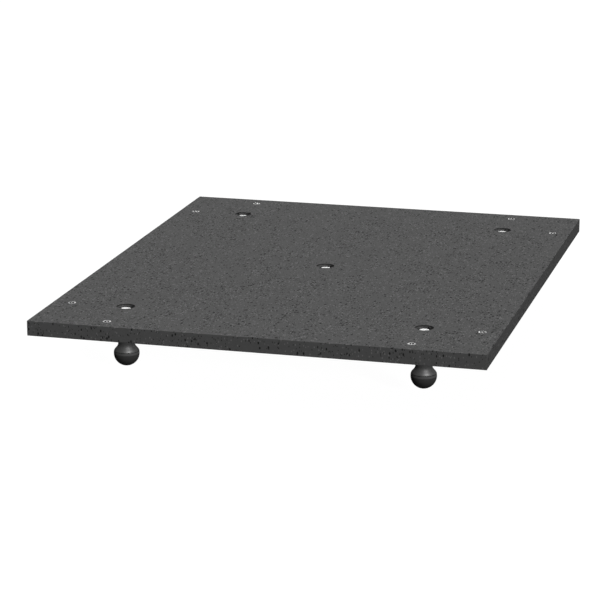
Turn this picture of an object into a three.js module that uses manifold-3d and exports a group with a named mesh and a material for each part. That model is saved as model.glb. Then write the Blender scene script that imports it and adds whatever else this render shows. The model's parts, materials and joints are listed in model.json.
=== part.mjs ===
// A low platform: a thick rectangular board that stands on five ball feet, which screw up and down.
// Units are millimetres, +Z is up, and the origin is on the floor under the middle of the board.
import * as THREE from "three";
import { mergeVertices } from "three/addons/utils/BufferGeometryUtils.js";
import Module from "manifold-3d";

const wasm = await Module();
wasm.setup();

// ---- Driving dimensions -------------------------------------------------------------------------

const DECK_WIDTH = 600; // along X
const DECK_DEPTH = 750; // along Y
const DECK_THICKNESS = 20;
const FOOT_LENGTH = 60; // from the floor to the board's underside, with the feet nearly screwed home

const FOOT_INSET = 100; // from the board's edges to the axes of the corner feet
const SCREW_INSET = 25; // from an edge to the screws beside it

const BALL_RADIUS = 17;
const BALL_FLAT_RADIUS = 3; // the small flat that the ball stands on
const NECK_RADIUS = 11;
const NECK_TOP = 38;
const FLARE_START_RISE = 3; // height above the ball's centre where the ball turns into the flare
const FLARE_END_RISE = 13.5; // height above the ball's centre where the flare meets the neck
const FLARE_START_REACH = 3.9; // how far the flare's curve runs on steeply from the ball
const FLARE_END_REACH = 5.2; // how far it runs along the neck
const FLARE_START_LEAN = 0.8; // how far it leans in, on the way up from the ball
const FLARE_END_LEAN = 0.2; // and on the way up to the neck

const SPINDLE_RADIUS = 8; // an M16 thread
const SPINDLE_CHAMFER = 1.5;
const SPINDLE_SETBACK = 3.1; // from the board's top down to the spindle's end
const JOURNAL_RADIUS = 5; // the plain lower end, which turns in the foot
const HEXAGON_ACROSS_FLATS = 19;
const HEXAGON_HEIGHT = 6.7;

const SOCKET_RADIUS = 8; // the swivel socket inside the foot
const SOCKET_BOTTOM = 14;
const SOCKET_FLOOR_THICKNESS = 1.8;
const SOCKET_COLLAR_RADIUS = 9.5;
const SOCKET_COLLAR_HEIGHT = 1;

const RING_RISE = 3; // from the journal's lower end up to the retaining ring
const RING_HEIGHT = 1.1;
const RING_INNER_RADIUS = 4.4;
const RING_OUTER_RADIUS = 6.1;
const RING_GAP_ANGLE = Math.PI / 5;

const FOOT_HOLE_RADIUS = 11.75; // the plain hole through the board above each foot
const BUSH_SETBACK = 8.4; // from the board's top down to the threaded bush's barrel
const FLANGE_THICKNESS = 3;
const CORNER_FLANGE_RADIUS = 17;
const CENTRE_FLANGE_RADIUS = 21;

const PLATE_THICKNESS = 3;
const PLATE_ARM_WIDTH = 30;
const PLATE_OVERHANG = 12; // past the screw at the end of each arm
const PLATE_HEEL_MARGIN = 3; // the plate's heel around the bush's flange
const PLATE_CORNER_RADIUS = 5;

const SCREW_RADIUS = 3; // M6 countersunk, 25 long
const SCREW_LENGTH = 25;
const SCREW_HEAD_RADIUS = 5.4;
const SCREW_HEAD_RIM = 0.5; // the straight edge of the head, above its cone
const SCREW_END_CHAMFER = 0.5;
const SCREW_SINK = 0.2; // from the board's top down to the head
const SCREW_SOCKET_ACROSS_FLATS = 6.6;
const SCREW_SOCKET_DEPTH = 1.6;
const SCREW_PIN_RADIUS = 1.2; // the pin in the middle of the socket
const SCREW_PIN_SINK = 0.2; // from the head's top down to the pin
const SCREW_PIN_ROOT = 0.5; // how deep the pin is rooted in the socket's floor

const NUT_BODY_RADIUS = 5.5; // the clinch nut's body, sunk in the board's underside
const NUT_BODY_HEIGHT = 4.2;
const NUT_SHANK_RADIUS = 4.2; // the part that is pressed into the plate
const NUT_SHANK_LENGTH = 2.8;

const WOOD_SCREW_RADIUS = 1.9;
const WOOD_SCREW_LENGTH = 14;
const WOOD_SCREW_POINT = 3;
const WOOD_SCREW_HEAD_RADIUS = 3.7;
const WOOD_SCREW_HEAD_HEIGHT = 2.2;
const WOOD_SCREW_HEAD_ROUNDING = 1.2;
const WOOD_SCREW_CIRCLE_RADIUS = 16.2;
const WOOD_SCREW_COUNT = 4;

const GAP = 0.2; // between faces that rest on each other
const FIT = 0.3; // radial room around a piece that is pressed or dropped into a hole
const RUNNING = 0.08; // radial room around a piece that turns
const GROOVE_ROOM = 0.1; // above and below the retaining ring in the spindle's groove
const OVERSHOOT = 1; // how far a cutting shape runs past the faces that it opens
const ROUND_SEGMENTS = 24;
const SMALL_SEGMENTS = 12;
const RING_STEPS = 18;

// ---- Derived sizes ------------------------------------------------------------------------------

const DECK_BOTTOM = FOOT_LENGTH;
const DECK_TOP = FOOT_LENGTH + DECK_THICKNESS;
const BALL_CENTRE = Math.sqrt(BALL_RADIUS ** 2 - BALL_FLAT_RADIUS ** 2);
const SPINDLE_TOP = DECK_TOP - SPINDLE_SETBACK;
const BARREL_RADIUS = FOOT_HOLE_RADIUS - FIT;
const BARREL_TOP = DECK_TOP - BUSH_SETBACK;
const PLATE_TOP = DECK_BOTTOM - GAP;
const PLATE_BOTTOM = PLATE_TOP - PLATE_THICKNESS;
const CORNER_FLANGE_TOP = PLATE_BOTTOM - GAP;
const CENTRE_FLANGE_TOP = DECK_BOTTOM - GAP;
const SOCKET_COLLAR_BOTTOM = NECK_TOP + GAP;
const SOCKET_TOP = SOCKET_COLLAR_BOTTOM + SOCKET_COLLAR_HEIGHT;
const SOCKET_FLOOR = SOCKET_BOTTOM + SOCKET_FLOOR_THICKNESS;
const JOURNAL_BOTTOM = SOCKET_FLOOR + GAP;
const HEXAGON_BOTTOM = SOCKET_TOP + GAP;
const HEXAGON_TOP = HEXAGON_BOTTOM + HEXAGON_HEIGHT;
const RING_BOTTOM = JOURNAL_BOTTOM + RING_RISE;
const RING_TOP = RING_BOTTOM + RING_HEIGHT;
const SCREW_REACH = FOOT_INSET - SCREW_INSET; // from a foot's axis to its screws

const CORNERS = [
  { name: "front_left", x: -1, y: -1 },
  { name: "front_right", x: 1, y: -1 },
  { name: "back_left", x: -1, y: 1 },
  { name: "back_right", x: 1, y: 1 },
];
for (const corner of CORNERS) {
  corner.footX = corner.x * (DECK_WIDTH / 2 - FOOT_INSET);
  corner.footY = corner.y * (DECK_DEPTH / 2 - FOOT_INSET);
  corner.screws = [
    { name: "side", x: corner.x * (DECK_WIDTH / 2 - SCREW_INSET), y: corner.footY },
    { name: "end", x: corner.footX, y: corner.y * (DECK_DEPTH / 2 - SCREW_INSET) },
  ];
}
const FEET = [
  ...CORNERS.map((corner) => ({ name: corner.name, x: corner.footX, y: corner.footY })),
  { name: "centre", x: 0, y: 0 },
];

// ---- Materials ----------------------------------------------------------------------------------

const finish = (color, roughness, metalness) =>
  new THREE.MeshStandardMaterial({ color, roughness, metalness });
const materials = {
  deck: finish(0x585858, 0.75, 0),
  foot: finish(0x2c2c2c, 0.5, 0),
  brightSteel: finish(0xd8d8d8, 0.25, 1),
  darkSteel: finish(0x3a3a3c, 0.5, 1),
  plate: finish(0x2a2a2c, 0.6, 0.6),
};

// ---- Geometry helpers ---------------------------------------------------------------------------

// Points of an arc about (x, y), with both ends.
function arc(x, y, radius, from, to, steps) {
  return Array.from({ length: steps + 1 }, (_, i) => {
    const angle = from + ((to - from) * i) / steps;
    return [x + radius * Math.cos(angle), y + radius * Math.sin(angle)];
  });
}

// A solid of revolution about Z from [radius, height] points, which run from the bottom of the axis
// up the outside to the top of the axis.
function revolve(profile, segments = ROUND_SEGMENTS) {
  const points = profile.map(([radius, height]) => new THREE.Vector2(radius, height));
  return new THREE.LatheGeometry(points, segments).rotateX(Math.PI / 2);
}

function rod(radius, bottom, top, segments = ROUND_SEGMENTS) {
  return revolve([[0, bottom], [radius, bottom], [radius, top], [0, top]], segments);
}

// A hexagonal prism about Z, with flats that face along X.
function hexagon(acrossFlats, bottom, top) {
  return rod(acrossFlats / Math.sqrt(3), bottom, top, 6);
}

function toSolid(geometry) {
  const bare = geometry.clone();
  bare.deleteAttribute("normal");
  bare.deleteAttribute("uv");
  const merged = mergeVertices(bare, 1e-4);
  return new wasm.Manifold(
    new wasm.Mesh({
      numProp: 3,
      vertProperties: merged.attributes.position.array,
      triVerts: new Uint32Array(merged.index.array),
    }),
  );
}

function toGeometry(solid) {
  const mesh = solid.getMesh();
  const geometry = new THREE.BufferGeometry();
  geometry.setAttribute("position", new THREE.BufferAttribute(mesh.vertProperties, 3));
  geometry.setIndex(new THREE.BufferAttribute(mesh.triVerts, 1));
  geometry.computeVertexNormals();
  return geometry;
}

function cut(geometry, tools) {
  return toGeometry(tools.reduce((solid, tool) => solid.subtract(toSolid(tool)), toSolid(geometry)));
}

function join(...pieces) {
  return toGeometry(pieces.map(toSolid).reduce((whole, piece) => whole.add(piece)));
}

// The wood screws' places around the middle bush, halfway between the axes X and Y.
function woodScrewPlaces() {
  return Array.from({ length: WOOD_SCREW_COUNT }, (_, i) => {
    const angle = ((i + 0.5) * 2 * Math.PI) / WOOD_SCREW_COUNT;
    return [WOOD_SCREW_CIRCLE_RADIUS * Math.cos(angle), WOOD_SCREW_CIRCLE_RADIUS * Math.sin(angle)];
  });
}

// ---- The board ----------------------------------------------------------------------------------

// A hole for one countersunk screw, with a pocket below for its clinch nut.
function screwHole() {
  const headTop = DECK_TOP - SCREW_SINK;
  const coneTop = headTop - SCREW_HEAD_RIM;
  const coneBottom = coneTop - (SCREW_HEAD_RADIUS - SCREW_RADIUS);
  const pocketTop = DECK_BOTTOM + NUT_BODY_HEIGHT + FIT;
  return revolve(
    [
      [0, DECK_BOTTOM - OVERSHOOT],
      [NUT_BODY_RADIUS + FIT, DECK_BOTTOM - OVERSHOOT],
      [NUT_BODY_RADIUS + FIT, pocketTop],
      [SCREW_RADIUS + FIT, pocketTop],
      [SCREW_RADIUS + FIT, coneBottom],
      [SCREW_HEAD_RADIUS + FIT, coneTop],
      [SCREW_HEAD_RADIUS + FIT, DECK_TOP + OVERSHOOT],
      [0, DECK_TOP + OVERSHOOT],
    ],
    SMALL_SEGMENTS,
  );
}

function deckGeometry() {
  const board = new THREE.BoxGeometry(DECK_WIDTH, DECK_DEPTH, DECK_THICKNESS);
  board.translate(0, 0, (DECK_BOTTOM + DECK_TOP) / 2);
  const holeBottom = DECK_BOTTOM - OVERSHOOT;
  const footHoles = FEET.map((foot) =>
    rod(FOOT_HOLE_RADIUS, holeBottom, DECK_TOP + OVERSHOOT).translate(foot.x, foot.y, 0),
  );
  const screwHoles = CORNERS.flatMap((corner) =>
    corner.screws.map((screw) => screwHole().translate(screw.x, screw.y, 0)),
  );
  const pilotTop = CENTRE_FLANGE_TOP - FLANGE_THICKNESS - GAP + WOOD_SCREW_LENGTH + FIT;
  const pilots = woodScrewPlaces().map(([x, y]) =>
    rod(WOOD_SCREW_RADIUS + FIT, holeBottom, pilotTop, SMALL_SEGMENTS).translate(x, y, 0),
  );
  return cut(board, [...footHoles, ...screwHoles, ...pilots]);
}

// ---- A foot and its screw mechanism -------------------------------------------------------------

// The moulded foot: a ball that flares in to a round neck, with a blind hole for the swivel socket.
function footGeometry() {
  const flareStart = Math.asin(FLARE_START_RISE / BALL_RADIUS);
  const flat = -Math.acos(BALL_FLAT_RADIUS / BALL_RADIUS);
  const ball = arc(0, BALL_CENTRE, BALL_RADIUS, flat, flareStart, 8);
  const [startRadius, startHeight] = ball[ball.length - 1];
  const endHeight = BALL_CENTRE + FLARE_END_RISE;
  const flare = new THREE.CubicBezierCurve(
    new THREE.Vector2(startRadius, startHeight),
    new THREE.Vector2(startRadius - FLARE_START_LEAN, startHeight + FLARE_START_REACH),
    new THREE.Vector2(NECK_RADIUS + FLARE_END_LEAN, endHeight - FLARE_END_REACH),
    new THREE.Vector2(NECK_RADIUS, endHeight),
  );
  return revolve([
    [0, 0],
    ...ball,
    ...flare.getPoints(4).slice(1).map((point) => [point.x, point.y]),
    [NECK_RADIUS, NECK_TOP],
    [SOCKET_RADIUS + FIT, NECK_TOP],
    [SOCKET_RADIUS + FIT, SOCKET_BOTTOM - FIT],
    [0, SOCKET_BOTTOM - FIT],
  ]);
}

// The metal socket inside the foot, in which the spindle's journal turns.
function socketGeometry() {
  const bore = JOURNAL_RADIUS + RUNNING;
  const groove = RING_OUTER_RADIUS + GAP;
  return revolve([
    [0, SOCKET_BOTTOM],
    [SOCKET_RADIUS, SOCKET_BOTTOM],
    [SOCKET_RADIUS, SOCKET_COLLAR_BOTTOM],
    [SOCKET_COLLAR_RADIUS, SOCKET_COLLAR_BOTTOM],
    [SOCKET_COLLAR_RADIUS, SOCKET_TOP],
    [bore, SOCKET_TOP],
    [bore, RING_TOP + GAP],
    [groove, RING_TOP + GAP],
    [groove, RING_BOTTOM - GAP],
    [bore, RING_BOTTOM - GAP],
    [bore, SOCKET_FLOOR],
    [0, SOCKET_FLOOR],
  ]);
}

// The spindle: a grooved journal, a hexagon for a spanner, and the thread's outer cylinder.
function spindleGeometry() {
  const groove = RING_INNER_RADIUS - GAP;
  const shoulder = HEXAGON_BOTTOM + HEXAGON_HEIGHT / 2;
  const turned = revolve([
    [0, JOURNAL_BOTTOM],
    [JOURNAL_RADIUS, JOURNAL_BOTTOM],
    [JOURNAL_RADIUS, RING_BOTTOM - GROOVE_ROOM],
    [groove, RING_BOTTOM - GROOVE_ROOM],
    [groove, RING_TOP + GROOVE_ROOM],
    [JOURNAL_RADIUS, RING_TOP + GROOVE_ROOM],
    [JOURNAL_RADIUS, shoulder],
    [SPINDLE_RADIUS, shoulder],
    [SPINDLE_RADIUS, SPINDLE_TOP - SPINDLE_CHAMFER],
    [SPINDLE_RADIUS - SPINDLE_CHAMFER, SPINDLE_TOP],
    [0, SPINDLE_TOP],
  ]);
  return join(turned, hexagon(HEXAGON_ACROSS_FLATS, HEXAGON_BOTTOM, HEXAGON_TOP));
}

// The open spring ring that holds the journal in the socket.
function ringGeometry() {
  const half = RING_GAP_ANGLE / 2;
  const outer = arc(0, 0, RING_OUTER_RADIUS, half, 2 * Math.PI - half, RING_STEPS);
  const inner = arc(0, 0, RING_INNER_RADIUS, 2 * Math.PI - half, half, RING_STEPS);
  const outline = new THREE.Shape([...outer, ...inner].map(([x, y]) => new THREE.Vector2(x, y)));
  const ring = new THREE.ExtrudeGeometry(outline, { depth: RING_HEIGHT, bevelEnabled: false });
  return ring.translate(0, 0, RING_BOTTOM);
}

// The flanged bush that the spindle screws through. The middle one's flange has screw holes.
function bushGeometry(flangeRadius, flangeTop, screwPlaces) {
  const bore = SPINDLE_RADIUS + RUNNING;
  const bottom = flangeTop - FLANGE_THICKNESS;
  const bush = revolve([
    [bore, bottom],
    [flangeRadius, bottom],
    [flangeRadius, flangeTop],
    [BARREL_RADIUS, flangeTop],
    [BARREL_RADIUS, BARREL_TOP],
    [bore, BARREL_TOP],
    [bore, bottom],
  ]);
  const drill = rod(WOOD_SCREW_RADIUS + FIT, bottom - OVERSHOOT, flangeTop + OVERSHOOT, SMALL_SEGMENTS);
  return cut(bush, screwPlaces.map(([x, y]) => drill.clone().translate(x, y, 0)));
}

// ---- Corner plates and fasteners ----------------------------------------------------------------

// The L-shaped plate under a corner: one arm from the foot's axis out to each of the two screws.
function plateGeometry(corner) {
  const half = PLATE_ARM_WIDTH / 2;
  const end = SCREW_REACH + PLATE_OVERHANG;
  const heel = CORNER_FLANGE_RADIUS + PLATE_HEEL_MARGIN;
  const web = heel + half;
  const root = web + heel - half;
  const outline = [
    [-heel, -heel], [web, -heel], [root, -half], [end, -half], [end, half], [root, half],
    [half, root], [half, end], [-half, end], [-half, root], [-heel, web],
  ];
  const shape = new THREE.Shape(roundedOutline(outline, PLATE_CORNER_RADIUS));
  const bush = arc(0, 0, FOOT_HOLE_RADIUS, 0, -2 * Math.PI, ROUND_SEGMENTS).slice(0, -1);
  const nut = arc(0, 0, NUT_SHANK_RADIUS + FIT, 0, -2 * Math.PI, SMALL_SEGMENTS).slice(0, -1);
  const holeAt = (points, x, y) => new THREE.Path(points.map(([u, v]) => new THREE.Vector2(u + x, v + y)));
  shape.holes.push(holeAt(bush, 0, 0), holeAt(nut, SCREW_REACH, 0), holeAt(nut, 0, SCREW_REACH));
  const plate = new THREE.ExtrudeGeometry(shape, { depth: PLATE_THICKNESS, bevelEnabled: false });
  plate.translate(0, 0, PLATE_BOTTOM);
  plate.rotateZ(quarterTurns(corner) * (Math.PI / 2));
  return plate.translate(corner.footX, corner.footY, 0);
}

// Quarter turns that take the plate's arms, drawn along +X and +Y, to this corner's two edges.
function quarterTurns(corner) {
  if (corner.y > 0) return corner.x > 0 ? 0 : 1;
  return corner.x > 0 ? 3 : 2;
}

// An outline with each corner rounded off, as points.
function roundedOutline(points, radius) {
  const corners = points.map(([x, y]) => new THREE.Vector2(x, y));
  return corners.flatMap((corner, i) => {
    const before = corners[(i + corners.length - 1) % corners.length];
    const after = corners[(i + 1) % corners.length];
    const room = Math.min(radius, corner.distanceTo(before) / 2.2, corner.distanceTo(after) / 2.2);
    const start = corner.clone().lerp(before, room / corner.distanceTo(before));
    const end = corner.clone().lerp(after, room / corner.distanceTo(after));
    return new THREE.QuadraticBezierCurve(start, corner, end).getPoints(2);
  });
}

// The countersunk screw, whose hexagonal socket has a pin in the middle.
function screwGeometry() {
  const top = DECK_TOP - SCREW_SINK;
  const coneTop = top - SCREW_HEAD_RIM;
  const bottom = top - SCREW_LENGTH;
  const blank = revolve(
    [
      [0, bottom],
      [SCREW_RADIUS - SCREW_END_CHAMFER, bottom],
      [SCREW_RADIUS, bottom + SCREW_END_CHAMFER],
      [SCREW_RADIUS, coneTop - (SCREW_HEAD_RADIUS - SCREW_RADIUS)],
      [SCREW_HEAD_RADIUS, coneTop],
      [SCREW_HEAD_RADIUS, top],
      [0, top],
    ],
    SMALL_SEGMENTS,
  );
  const socketFloor = top - SCREW_SOCKET_DEPTH;
  const drilled = cut(blank, [hexagon(SCREW_SOCKET_ACROSS_FLATS, socketFloor, top + OVERSHOOT)]);
  const pinRoot = socketFloor - SCREW_PIN_ROOT;
  return join(drilled, rod(SCREW_PIN_RADIUS, pinRoot, top - SCREW_PIN_SINK, SMALL_SEGMENTS));
}

// The clinch nut: a round body on the plate and a shank pressed into it.
function nutGeometry() {
  const bore = SCREW_RADIUS + FIT / 2;
  const shoulder = PLATE_TOP + GAP;
  const bottom = shoulder - NUT_SHANK_LENGTH;
  const top = shoulder + NUT_BODY_HEIGHT;
  return revolve(
    [
      [bore, bottom],
      [NUT_SHANK_RADIUS, bottom],
      [NUT_SHANK_RADIUS, shoulder],
      [NUT_BODY_RADIUS, shoulder],
      [NUT_BODY_RADIUS, top],
      [bore, top],
      [bore, bottom],
    ],
    SMALL_SEGMENTS,
  );
}

function woodScrewGeometry() {
  const underHead = CENTRE_FLANGE_TOP - FLANGE_THICKNESS - GAP;
  const tip = underHead + WOOD_SCREW_LENGTH;
  return revolve(
    [
      [0, underHead - WOOD_SCREW_HEAD_HEIGHT],
      [WOOD_SCREW_HEAD_RADIUS - WOOD_SCREW_HEAD_ROUNDING, underHead - WOOD_SCREW_HEAD_HEIGHT],
      [WOOD_SCREW_HEAD_RADIUS, underHead - WOOD_SCREW_HEAD_HEIGHT / 2],
      [WOOD_SCREW_HEAD_RADIUS, underHead],
      [WOOD_SCREW_RADIUS, underHead],
      [WOOD_SCREW_RADIUS, tip - WOOD_SCREW_POINT],
      [0, tip],
    ],
    SMALL_SEGMENTS,
  );
}

// ---- Assembly -----------------------------------------------------------------------------------

const group = new THREE.Group();

function add(name, geometry, material, x = 0, y = 0) {
  const mesh = new THREE.Mesh(geometry, material);
  mesh.name = name;
  mesh.position.set(x, y, 0);
  group.add(mesh);
}

add("deck", deckGeometry(), materials.deck);

for (const foot of FEET) {
  const middle = foot.name === "centre";
  const bush = middle
    ? bushGeometry(CENTRE_FLANGE_RADIUS, CENTRE_FLANGE_TOP, woodScrewPlaces())
    : bushGeometry(CORNER_FLANGE_RADIUS, CORNER_FLANGE_TOP, []);
  add(`foot_${foot.name}`, footGeometry(), materials.foot, foot.x, foot.y);
  add(`swivel_socket_${foot.name}`, socketGeometry(), materials.darkSteel, foot.x, foot.y);
  add(`retaining_ring_${foot.name}`, ringGeometry(), materials.brightSteel, foot.x, foot.y);
  add(`spindle_${foot.name}`, spindleGeometry(), materials.brightSteel, foot.x, foot.y);
  add(`bush_${foot.name}`, bush, materials.darkSteel, foot.x, foot.y);
}

for (const corner of CORNERS) {
  add(`foot_plate_${corner.name}`, plateGeometry(corner), materials.plate);
  for (const screw of corner.screws) {
    add(`deck_screw_${corner.name}_${screw.name}`, screwGeometry(), materials.brightSteel, screw.x, screw.y);
    add(`clinch_nut_${corner.name}_${screw.name}`, nutGeometry(), materials.brightSteel, screw.x, screw.y);
  }
}

woodScrewPlaces().forEach(([x, y], i) =>
  add(`bush_screw_${i + 1}`, woodScrewGeometry(), materials.brightSteel, x, y),
);

export default group;
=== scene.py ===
"""The looks of a low platform on ball feet: a flecked board, rubber feet, and bright and dark steel.

Lengths that the frame doesn't give are in millimetres and are turned into metres where a mesh is made.
"""

import json
import math

import bmesh
import bpy
from mathutils import Matrix, Vector

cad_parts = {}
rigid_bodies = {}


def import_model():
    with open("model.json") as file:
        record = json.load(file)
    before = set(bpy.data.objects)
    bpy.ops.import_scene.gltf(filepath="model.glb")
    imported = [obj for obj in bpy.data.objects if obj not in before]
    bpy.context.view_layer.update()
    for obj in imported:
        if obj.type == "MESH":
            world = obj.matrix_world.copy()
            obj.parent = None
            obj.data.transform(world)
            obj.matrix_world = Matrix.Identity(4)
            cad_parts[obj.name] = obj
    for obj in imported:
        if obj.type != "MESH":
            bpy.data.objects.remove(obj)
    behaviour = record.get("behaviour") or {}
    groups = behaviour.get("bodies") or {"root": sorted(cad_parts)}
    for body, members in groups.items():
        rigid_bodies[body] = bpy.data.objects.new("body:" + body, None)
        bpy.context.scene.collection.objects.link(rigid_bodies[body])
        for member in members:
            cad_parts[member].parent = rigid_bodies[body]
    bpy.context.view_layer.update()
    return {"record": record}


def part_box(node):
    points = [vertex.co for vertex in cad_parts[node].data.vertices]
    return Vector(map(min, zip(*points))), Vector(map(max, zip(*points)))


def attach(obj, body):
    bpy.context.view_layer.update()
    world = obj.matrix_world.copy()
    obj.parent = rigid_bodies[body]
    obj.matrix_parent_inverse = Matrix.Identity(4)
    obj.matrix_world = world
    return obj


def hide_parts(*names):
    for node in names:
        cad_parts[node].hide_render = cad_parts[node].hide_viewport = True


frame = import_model()

MM = 0.001
TURN = 2 * math.pi
FINE = 96  # sides of a large round piece, or of one with a fine recess
MEDIUM = 60
SMALL = 48
SMOOTH_BELOW = math.radians(32)  # edges sharper than this stay crisp

# ---- Places and sizes ----------------------------------------------------------------------------

BODIES = frame["record"]["behaviour"]["bodies"]
FEET = [body.removeprefix("foot_") for body in BODIES if body.startswith("foot_")]
CORNERS = [name for name in FEET if name != "centre"]
SCREW_PLACES = [f"{corner}_{side}" for corner in CORNERS for side in ("side", "end")]
BUSH_SCREWS = sorted(node for node in BODIES["deck"] if node.startswith("bush_screw"))


def levels(node):
    """A node's lowest and highest point, in millimetres."""
    low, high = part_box(node)
    return low.z / MM, high.z / MM


def middle(node):
    """The point of the floor under the middle of a node's box, in metres."""
    low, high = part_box(node)
    return Vector(((low.x + high.x) / 2, (low.y + high.y) / 2, 0))


DECK_LOW, DECK_HIGH = (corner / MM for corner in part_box("deck"))
DECK_BOTTOM, DECK_TOP = DECK_LOW.z, DECK_HIGH.z
FOOT_BOTTOM, NECK_TOP = levels("foot_centre")
SPINDLE_BOTTOM, SPINDLE_TOP = levels("spindle_centre")
SOCKET_BOTTOM, SOCKET_TOP = levels("swivel_socket_centre")
RING_BOTTOM, RING_TOP = levels("retaining_ring_centre")

GAP = 0.2  # between faces that rest on each other
FIT = 0.3  # radial room around a piece that is pressed or dropped into a hole
RUNNING = 0.08  # radial room around a piece that turns
OVERSHOOT = 1  # how far a cutting shape runs past the faces that it opens
CLEAR = 0.01  # how far the mouth of a lipped cutting shape clears the face

DECK_TOP_EDGE = 0.25  # the widths of the board's eased edges
DECK_BOTTOM_EDGE = 1.1
DECK_UPRIGHT_EDGE = 0.5
FOOT_HOLE_RADIUS = 11.75
LIP = 0.5  # the width of the lips of the foot holes
RIM_SHADE_DEPTH = 1.6  # how far down a foot hole's wall has painted shade

BALL_RADIUS = 17
BALL_FLAT_RADIUS = 3
NECK_RADIUS = 11
NECK_TOP_ROUNDING = 0.9
FLARE_START_RISE = 3  # height above the ball's centre where the ball turns into the flare
FLARE_END_RISE = 13.5  # height above the ball's centre where the flare meets the neck
FLARE_START_PULL = (-0.8, 3.9)  # from the flare's ends to the points that its curve is drawn towards
FLARE_END_PULL = (0.2, -5.2)
SEAM = [(-0.4, 0.15), (-0.42, 0.45), (-0.06, 0.6)]  # the groove's points, from the ball's upper edge
SEAM_SHADE_HALF_WIDTH = 0.35  # of the painted shade around the groove

SWIVEL_SOCKET_RADIUS = 8
SWIVEL_SOCKET_FLOOR = 1.8
COLLAR_RADIUS = 9.5
RING_INNER_RADIUS = 4.4
RING_OUTER_RADIUS = 6.1
RING_HALF_GAP = math.radians(18)

SPINDLE_RADIUS = 8
SPINDLE_CHAMFER = 1.5
SPINDLE_PITCH = 2
SPINDLE_RELIEF_RADIUS = 6.6  # the short plain stretch between the hexagon and the thread
SPINDLE_RELIEF_LENGTH = 1.6
JOURNAL_RADIUS = 5
HEXAGON_ACROSS_FLATS = 19
HEXAGON_HEIGHT = 6.7
HEXAGON_BOTTOM = SOCKET_TOP + GAP
HEXAGON_TOP = HEXAGON_BOTTOM + HEXAGON_HEIGHT

BARREL_RADIUS = FOOT_HOLE_RADIUS - FIT
FLANGE_THICKNESS = 3

PLATE_ARM_WIDTH = 30
PLATE_HEEL = 20  # from the foot's axis back to the plate's outer corner, along each arm
PLATE_REACH = 87  # from the foot's axis to the end of each arm
PLATE_CORNER_RADIUS = 5
PLATE_EDGE = 0.35

SCREW_RADIUS = 3
SCREW_PITCH = 1
SCREW_HEAD_RADIUS = 5.4
SCREW_HEAD_RIM = 0.5  # the straight edge of the head, above its cone
SCREW_SINK = 0.2  # from the board's top down to the head
SCREW_SOCKET_ACROSS_FLATS = 6.6
SCREW_SOCKET_DEPTH = 1.6
SCREW_PIN_RADIUS = 1.2
SCREW_PIN_SINK = 0.2

NUT_BODY_RADIUS = 5.5
NUT_BODY_HEIGHT = 4.2
NUT_SHANK_RADIUS = 4.2

WOOD_SCREW_RADIUS = 1.9
WOOD_SCREW_PITCH = 1.5
WOOD_SCREW_POINT = 3
WOOD_SCREW_HEAD_RADIUS = 3.7
WOOD_SCREW_HEAD_HEIGHT = 2.2
WOOD_SCREW_DOME_HEIGHT = 1.7  # the rounded part of the head

FLOOR_LEVEL = -12.5

# ---- Mesh building -------------------------------------------------------------------------------


def smoothstep(value):
    """A smooth rise from 0 to 1."""
    value = min(max(value, 0), 1)
    return value * value * (3 - 2 * value)


def arc(x, y, radius, start, end, steps):
    """Points of an arc about (x, y) from one angle to another, in degrees, with both ends."""
    angles = [math.radians(start + (end - start) * i / steps) for i in range(steps + 1)]
    return [(x + radius * math.cos(a), y + radius * math.sin(a)) for a in angles]


def eased(points, radius, steps=3):
    """A profile with each inner corner rounded, by a curve that starts a radius away from it."""
    made = [points[0]]
    for before, corner, after in zip(points, points[1:], points[2:]):
        before, corner, after = Vector(before), Vector(corner), Vector(after)
        room = min(radius, (corner - before).length / 2.2, (after - corner).length / 2.2)
        start = corner + (before - corner).normalized() * room
        end = corner + (after - corner).normalized() * room
        for i in range(steps + 1):
            t = i / steps
            made.append(tuple(start * (1 - t) ** 2 + corner * 2 * t * (1 - t) + end * t**2))
    return made + [points[-1]]


def hexagon(across_flats):
    """The radius of a hexagon at an angle, with flats that face along X."""
    sixth = TURN / 6
    return lambda angle: across_flats / 2 / math.cos((angle + sixth / 2) % sixth - sixth / 2)


def cross(arm_length, arm_half_width):
    """The radius of a cross recess at an angle."""

    def radius(angle):
        quarter = TURN / 4
        off = abs((angle + quarter / 2) % quarter - quarter / 2)
        if math.tan(off) < arm_half_width / arm_length:
            return arm_length / math.cos(off)
        return arm_half_width / math.sin(off)

    return radius


def smaller(first, second):
    """The smaller of two radii, each a number or a function of the angle."""
    return lambda angle: min(r(angle) if callable(r) else r for r in (first, second))


def thread(radius, pitch, bottom, top, fade_bottom=0, fade_top=0, rows_per_turn=10):
    """Rings of a right-hand thread.

    It fades out over a length at each end, or runs off the end if that length is 0.
    """
    depth = 0.6 * pitch
    half_crest, flank_width = 0.15, 0.6
    rings = []
    count = round((top - bottom) / pitch * rows_per_turn)
    for i in range(count + 1):
        height = bottom + (top - bottom) * i / count
        fade = 1
        if fade_bottom:
            fade = min(fade, smoothstep((height - bottom) / fade_bottom))
        if fade_top:
            fade = min(fade, smoothstep((top - height) / fade_top))

        def at(angle, height=height, fade=fade):
            phase = (height / pitch - angle / TURN) % 1
            flank = min(max((abs(2 * phase - 1) - half_crest) / flank_width, 0), 1)
            return radius - depth * fade * flank

        rings.append((at, height))
    return rings


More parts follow.
